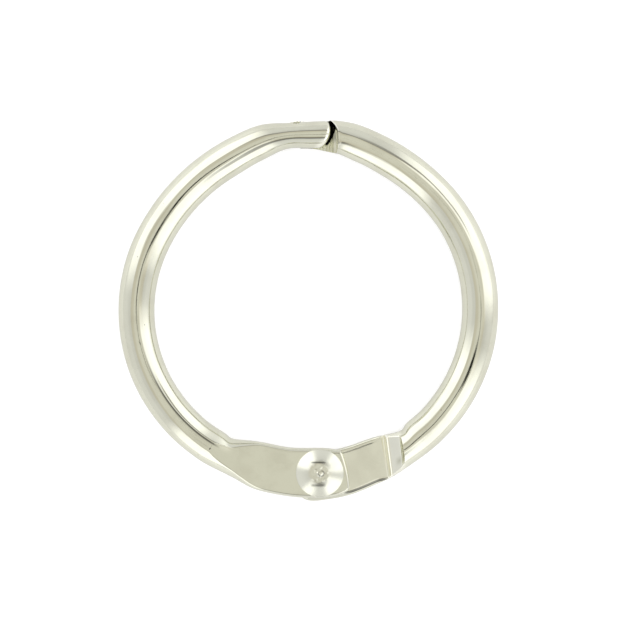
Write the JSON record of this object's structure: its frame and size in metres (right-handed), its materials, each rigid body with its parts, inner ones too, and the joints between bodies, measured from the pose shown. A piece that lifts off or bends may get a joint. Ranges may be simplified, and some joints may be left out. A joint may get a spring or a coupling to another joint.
{
  "type": "hinged snap key ring",
  "caption": "Hinged wire ring whose halves turn on a rivet and close at a toothed half-lap, for keys, tags or punched cards.",
  "frame": {"origin": "centre of the ring's footprint, at its lowest point, which is the flat end of the rivet's tail", "axes": "+Z along the ring's axis towards the rivet's domed head, the front; +Y from the hinge to the latch; +X to the right as seen from the front, towards the half that moves"},
  "size_m": [0.0316, 0.0312, 0.0036],
  "materials": {
    "plated_wire": "bright nickel plate on steel wire, slightly warm, with fine drawing and coining marks",
    "plated_rivet": "bright nickel plate on a steel rivet, with turning marks round the head"
  },
  "bodies": {
    "left_half": {"left_half_ring": "plated_wire", "hinge_rivet": "plated_rivet"},
    "right_half": {"right_half_ring": "plated_wire"}
  },
  "joints": [
    {"name": "ring_hinge", "type": "hinge", "parent": "left_half", "child": "right_half", "pos_m": [0.00094, -0.01361, 0.00164], "axis": [0, 0, -1], "range_deg": [0, 160]}
  ]
}
